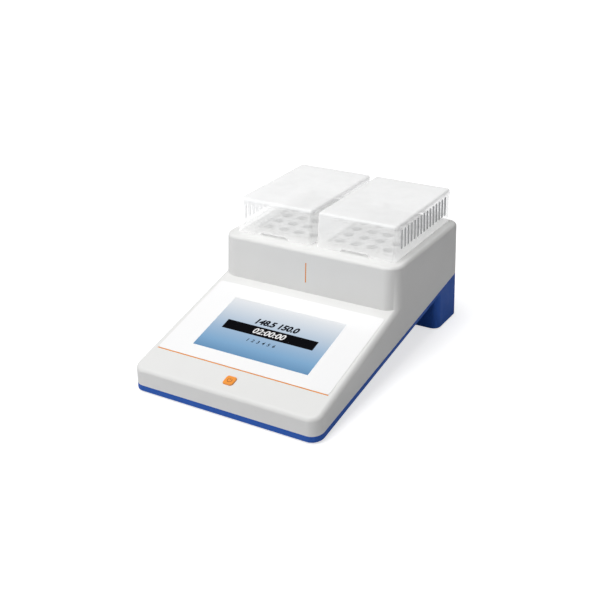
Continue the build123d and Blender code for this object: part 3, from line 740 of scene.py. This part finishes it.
button = {
    "along": 24.2 * mm, "width": 15.0 * mm, "length": 15.5 * mm, "rise": 1.8 * mm, "foot": -3.1 * mm,
    "corner": 3.5 * mm, "edge": 0.9 * mm, "dish": 0.35 * mm, "dishInset": 1.8 * mm,
    "flange": 1.5 * mm, "flangeThickness": 1.2 * mm, "flangeCorner": 1.0 * mm,
    "overlap": 0.01 * mm,  # of cap and flange, so that they join
    "signRadius": 3.2 * mm, "signStroke": 0.75 * mm, "signRise": 0.12 * mm, "signGap": 70.0,
    "barFrom": 0.2, "barTo": 1.15,  # of the sign's radius
}


def addPowerButton():
    # a dished cap with round edges, on the flange that holds it under the housing
    half = Vector((button["width"] / 2, button["length"] / 2, 0))
    middle = Vector((0, button["along"], 0))
    foot = Vector((0, 0, button["foot"]))
    rise = button["rise"]
    cap = addBlock(middle - half + foot, middle + half + Vector((0, 0, rise)))
    bevelEdges(cap, upright, button["corner"], 8)
    edit(cap)
    pick("FACE", lambda m, d: d.z > mostly)
    bpy.ops.mesh.inset(thickness=button["dishInset"])
    bpy.ops.transform.translate(value=(0, 0, -button["dish"]))
    done()

    def onRim(m, d):
        atEdge = abs(m.x) > half.x - mm or abs(m.y - middle.y) > half.y - mm
        return abs(m.z - rise) < tolerance and abs(d.z) < hardly and atEdge

    bevelEdges(cap, onRim, button["edge"])
    spread = Vector((button["flange"], button["flange"], 0))
    flange = addBlock(middle - half - spread + foot - Vector((0, 0, button["flangeThickness"])),
                      middle + half + spread + foot + Vector((0, 0, button["overlap"])))
    bevelEdges(flange, upright, button["flangeCorner"], 3)
    combine(cap, flange, "UNION")
    tidyMesh(onPanel(cap), 40)
    declare(cap, "power_button_cap", "power_button", "orange_plastic", "power_button")


def addRing(middle, radius, stroke, rise, gap=0.0):
    # a flat ring that lies across Z, open towards Y by an angle in degrees: one face, spun round
    low = middle + Vector((0, radius - stroke / 2, -rise))
    ring = addBlock(low, low + Vector((stroke, stroke, 2 * rise)))
    edit(ring)
    pick("FACE", lambda m, d: d.x < -mostly)
    bpy.ops.mesh.select_all(action="INVERT")
    bpy.ops.mesh.delete(type="FACE")
    bpy.ops.mesh.select_all(action="SELECT")
    start = radians(gap / 2)
    bpy.ops.transform.rotate(value=start, orient_axis="Z", center_override=middle)
    bpy.ops.mesh.spin(steps=36, angle=2 * pi - 2 * start, center=middle, axis=(0, 0, 1))
    done()
    return ring


def addPowerSign():
    # a broken ring and an upright stroke, as on any power button
    stroke, rise, radius = button["signStroke"], button["signRise"], button["signRadius"]
    middle = Vector((0, button["along"], button["rise"] - button["dish"]))
    ring = addRing(middle, radius, stroke, rise, button["signGap"])
    bar = addBlock(middle + Vector((-stroke / 2, button["barFrom"] * radius, -rise)),
                   middle + Vector((stroke / 2, button["barTo"] * radius, rise)))
    sign = tidyMesh(onPanel(join(ring, bar)), 40)
    declare(sign, "power_sign", "power_button", "orange_plastic", finish="signOrange")


addPowerButton()
addPowerSign()
print("stage: power button")


# what the screen shows: a dark band and three rows of plain numerals

display = {
    "level": 0.42 * mm, "thickness": 0.06 * mm,
    "band": (-72.0 * mm, 72.0 * mm, 113.8 * mm, 132.0 * mm),  # left, right, foot, top
    "bandEdge": 0.02 * mm,
    "fontScale": 1.35,  # size of the type, over the height of its numerals
    "slant": 0.2,
    "rows": [  # name, numerals, across, along and height in mm, weight, finish
        ("screen_reading", "148.5 150.0", 0.0, 141.3, 10.8, 0.062, "numeralInk"),
        ("screen_clock", "02:00:00", -1.0, 122.7, 10.8, 0.026, "numeralLight"),
        ("screen_steps", "1  2  3  4  5  6", -2.0, 102.8, 5.8, 0.025, "numeralInk"),
    ],
}


def addScreenBand():
    left, right, foot, top = display["band"]
    level = display["level"]
    band = addBlock(Vector((left, foot, level - display["thickness"])), Vector((right, top, level)))
    bevelEdges(band, lambda m, d: m.z > level - tolerance, display["bandEdge"], 1)
    tidyMesh(onPanel(band))
    declare(band, "screen_band", "housing", "screen_glass", finish="bandInk")


def addNumerals(name, body, across, along, height, weight, finishName):
    clear()
    half = display["thickness"] / 2
    bpy.ops.object.text_add(location=(across * mm, along * mm, display["level"] + half))
    text = bpy.context.object
    text.data.body = body
    text.data.size = height * mm * display["fontScale"]
    text.data.align_x = "CENTER"
    text.data.align_y = "CENTER"
    text.data.shear = display["slant"]
    text.data.offset = weight * height * mm
    text.data.extrude = half
    bpy.ops.object.convert(target="MESH")
    numerals = tidyMesh(onPanel(bpy.context.object))
    declare(numerals, name, "housing", "screen_glass", finish=finishName)


addScreenBand()
for row in display["rows"]:
    addNumerals(*row)
print("stage: screen")


# mains entry: rocker with its two marks, fuse drawer and inlet

rocker = {
    "markStroke": 0.6 * mm, "markRise": 0.06 * mm, "ringRadius": 1.5 * mm, "barLength": 3.6 * mm,
    "facing": 0.8,  # a marked face points to the rear by more than this
}
entryEdges = {"rocker": 0.5 * mm, "drawer": 0.35 * mm, "entry": 0.3 * mm, "pins": 0.3 * mm}


def onFace(name, test):
    # where the faces of a node that pass the test lie: a place in their middle, with Z out of them
    faces = [face for face in nodes[name].data.polygons if test(face.center, face.normal)]
    area = sum(face.area for face in faces)
    middle = sum((face.center * face.area for face in faces), Vector()) / area
    out = sum((face.normal * face.area for face in faces), Vector()).normalized()
    across = Vector((0, 0, 1)).cross(out).normalized()
    return placeWith(middle, across, out.cross(across), out)


def addRockerMarks():
    low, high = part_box("mains_rocker")
    middle = (low.z + high.z) / 2
    stroke, rise, length = rocker["markStroke"], rocker["markRise"], rocker["barLength"]
    ring = addRing(Vector(), rocker["ringRadius"], stroke, rise)
    bar = addBlock(Vector((-stroke / 2, -length / 2, -rise)), Vector((stroke / 2, length / 2, rise)))
    for mark, name, upper in ((bar, "rocker_mark_on", True), (ring, "rocker_mark_off", False)):

        def marked(m, d):
            return d.y > rocker["facing"] and (m.z > middle) == upper

        mark.matrix_world = onFace("mains_rocker", marked)
        tidyMesh(settle(mark), 40)
        declare(mark, name, "mains_rocker", "black_plastic", finish="markWhite")


addRockerMarks()
remade("mains_rocker", "mains_rocker_key", "black_plastic", entryEdges["rocker"])
remade("fuse_drawer", "fuse_drawer_body", "black_plastic", entryEdges["drawer"])
remade("power_entry", "power_entry_body", "black_plastic", entryEdges["entry"])
remade("inlet_pins", "inlet_pins_body", "brass", entryEdges["pins"])
print("stage: mains entry")


# rubber feet

foot = {"radius": 8.0 * mm, "edge": 0.8 * mm, "dimple": 3.2 * mm, "dimpleDepth": 0.8 * mm}


def addFeet(name):
    # a left and a right pad, each with a dimple underneath
    low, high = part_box(name)
    made = []
    for side in (-1, 1):
        x = side * (high.x - foot["radius"])
        middle = Vector((x, (low.y + high.y) / 2, (low.z + high.z) / 2))
        pad = addRod(foot["radius"], high.z - low.z, middle)
        edit(pad)
        pick("FACE", lambda m, d: d.z < -mostly)
        bpy.ops.mesh.inset(thickness=foot["radius"] - foot["dimple"])
        bpy.ops.mesh.inset(thickness=foot["dimpleDepth"])
        bpy.ops.transform.translate(value=(0, 0, foot["dimpleDepth"]))
        done()
        bevelEdges(pad, lambda m, d: m.z < low.z + tolerance and abs(d.z) < hardly
                   and (m - middle).xy.length > 0.9 * foot["radius"], foot["edge"], 3)
        made.append(pad)
    pads = tidyMesh(join(*made), 40)
    return declare(pads, name + "_pads", "housing", "rubber", name)


addFeet("front_feet")
addFeet("rear_feet")
print("stage: feet")


# housings, and the pieces of the bays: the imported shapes, merged, some with broken edges

shellEdges = {"overlay": 0.12 * mm, "block": 0.35 * mm, "frame": 0.2 * mm, "lugs": 0.3 * mm}

remade("upper_housing", "upper_housing_shell", "white_plastic")
remade("base_housing", "base_housing_shell", "blue_plastic")
remade("front_overlay", "front_overlay_sheet", "white_overlay", shellEdges["overlay"])
for side in ("left_", "right_"):
    remade(side + "heating_block", side + "heating_block_body", "block_metal", shellEdges["block"], 1)
    remade(side + "bay_frame", side + "bay_frame_body", "frame_plastic", shellEdges["frame"])
    remade(side + "hinge_rod", side + "hinge_rod_body", "steel")
    remade(side + "hinge_lugs", side + "hinge_lugs_body", "white_plastic", shellEdges["lugs"])
print("stage: housings")


# nodes that keep their own shape

carried = {  # finish: nodes
    "steel": [
        "chassis_plate", "block_standoffs", "board_screws", "base_screws", "left_probe", "right_probe",
    ],
    "lineOrange": ["accent_line", "accent_mark"],
    "screen_glass": ["touch_screen"],
    "block_metal": ["left_block_base", "right_block_base"],
    "heater_sheet": ["left_heater", "right_heater"],
    "insulation": ["left_insulation", "right_insulation"],
    "black_plastic": [
        "button_switch", "switch_plunger", "left_thermal_cutout", "right_thermal_cutout",
        "heater_relays", "control_parts",
    ],
    "circuit_board": ["control_board", "button_board", "power_board"],
    "display": ["display_module"],
    "spacer_plastic": ["board_spacers"],
    "transformer_core": ["transformer"],
    "aluminium": ["heat_sink"],
    "fuse_glass": ["fuse"],
}

for finishName, names in carried.items():
    for name in names:
        paint(nodes[name], finishName)
print("stage: carried-over nodes")
